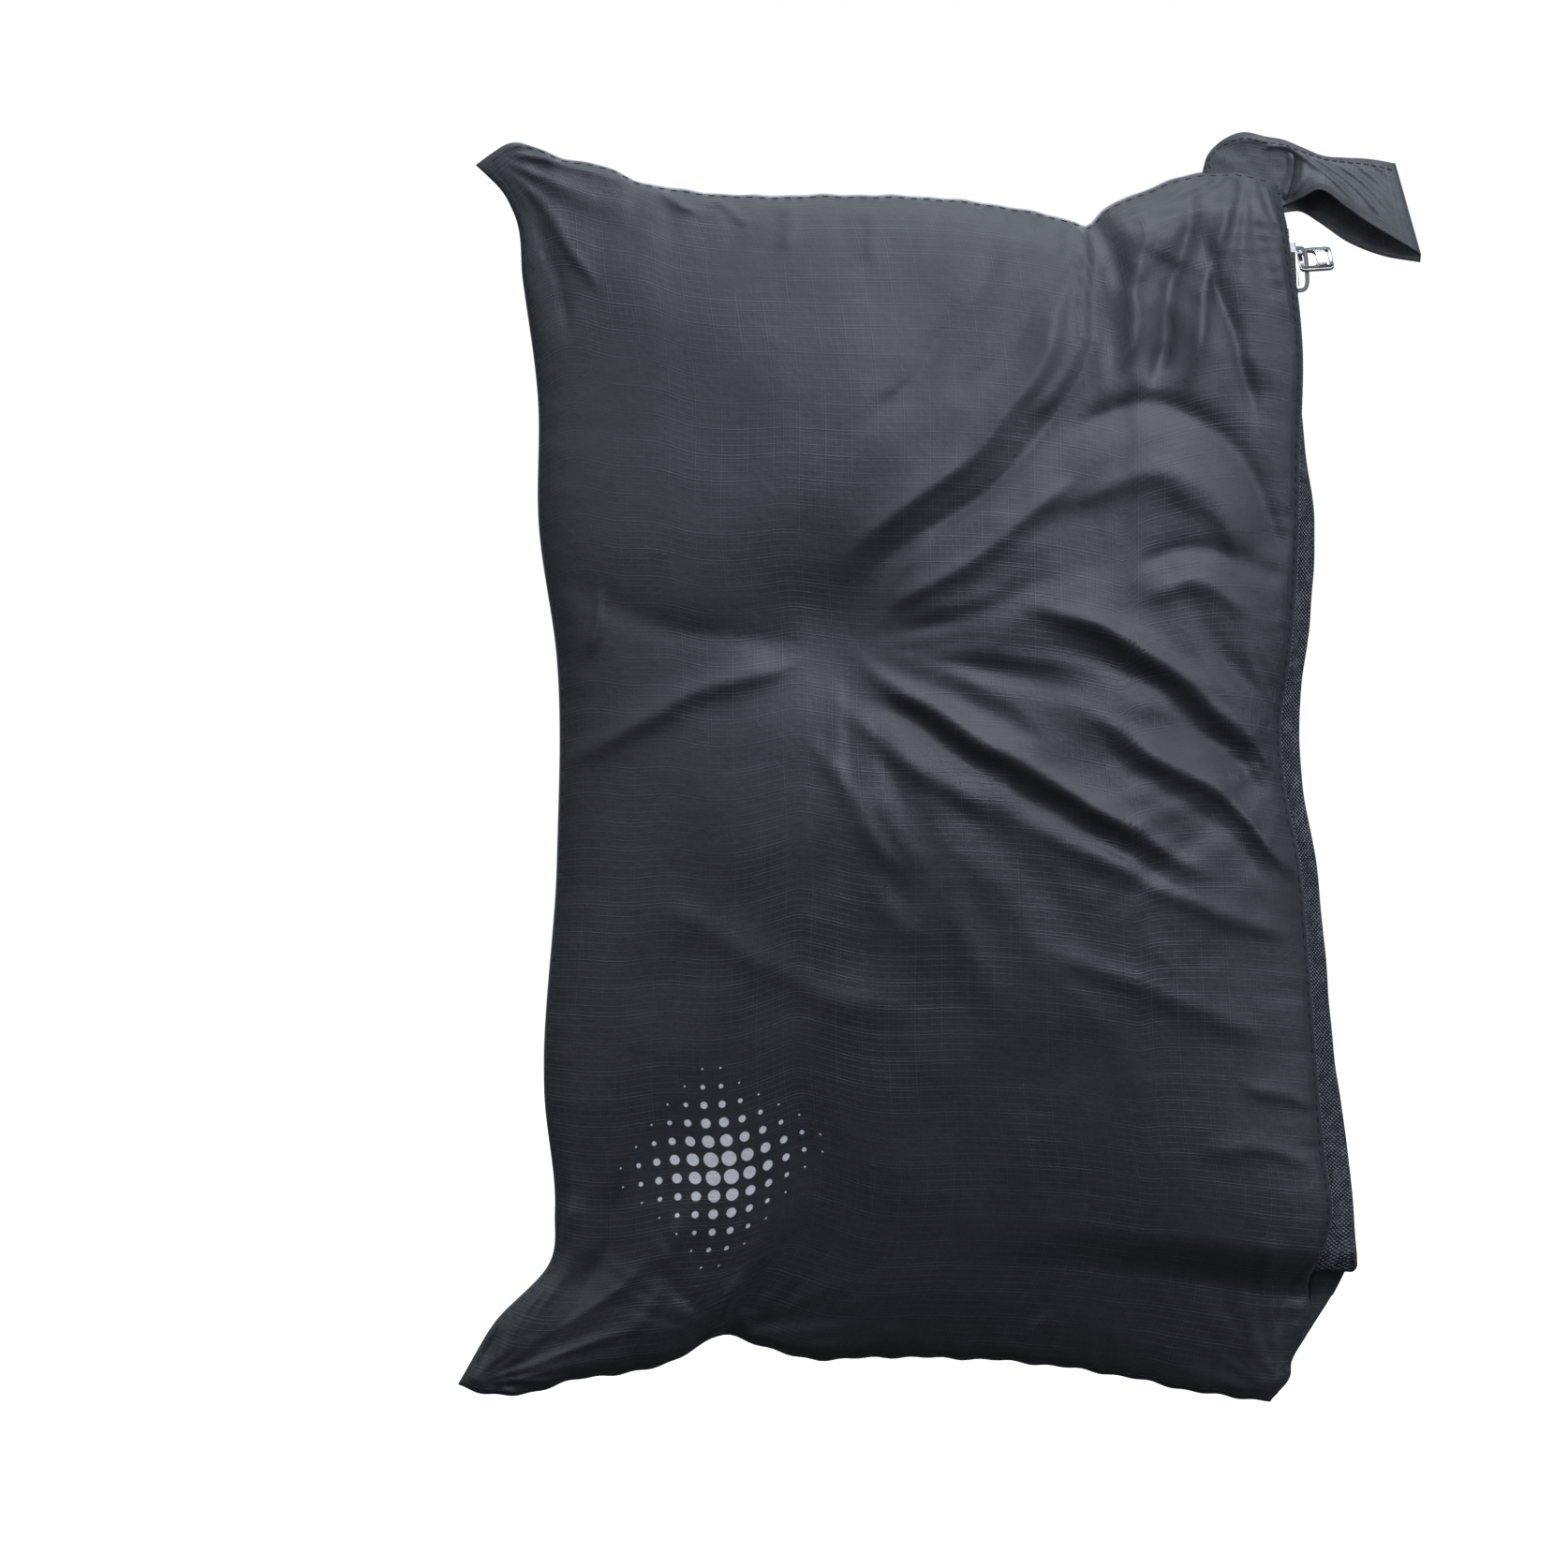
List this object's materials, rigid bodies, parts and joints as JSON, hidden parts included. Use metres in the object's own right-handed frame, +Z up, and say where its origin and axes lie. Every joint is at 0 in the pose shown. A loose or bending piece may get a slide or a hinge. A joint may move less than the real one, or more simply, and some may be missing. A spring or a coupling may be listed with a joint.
{
  "type": "zipped stuff sack",
  "caption": "Packed ripstop stuff sack with a zip down its right side, a locking metal slider and a sewn hang loop at the top corner.",
  "frame": {"origin": "the top right corner, where the hang loop is sewn in and the sack's weight hangs from it", "axes": "+Z up the sack, -Y out of its front, +X towards the zip, and the closing seams in the plane Y = 0"},
  "size_m": [0.2304, 0.0497, 0.3007],
  "materials": {
    "ripstop": "black ripstop nylon with a satin coating and a fine square grid of thicker threads",
    "filling": "soft packed textile",
    "tape": "matt black knitted polyester tape",
    "teeth": "black nylon coil with a low shine",
    "thread": "black polyester sewing thread",
    "metal": "bright nickel plating, polished"
  },
  "bodies": {
    "sack": {"front_panel": "ripstop", "back_panel": "ripstop", "packed_load": "filling", "closing_seam_thread": "thread", "zipper_tape_front": "tape", "zipper_tape_back": "tape", "zip_stitching_front": "thread", "zip_stitching_back": "thread", "zipper_coil_front": "teeth", "zipper_coil_back": "teeth", "top_stop_front": "metal", "top_stop_back": "metal", "bottom_stop": "metal", "zipper_end_tab": "tape", "loop_base": "ripstop"},
    "slider": {"slider_body": "metal", "slider_crown": "metal", "slider_lock_spring": "metal"},
    "tab": {"pull_tab": "metal"},
    "loop": {"hang_loop": "ripstop"}
  },
  "joints": [
    {"name": "slider_travel", "type": "slide", "parent": "sack", "child": "slider", "axis": [0.0651, 0, -0.9979], "range_m": [0, 0.2208]},
    {"name": "pull_tab_swing", "type": "hinge", "parent": "slider", "child": "tab", "pos_m": [0.00489, 0, -0.01729], "axis": [-0.0484, 0.6691, 0.7416], "range_deg": [-20, 20]},
    {"name": "hang_loop_swing", "type": "hinge", "parent": "sack", "child": "loop", "pos_m": [0.0043, 0, 0.002], "axis": [0.3443, 0, -0.9389], "range_deg": [-80, 80]}
  ]
}
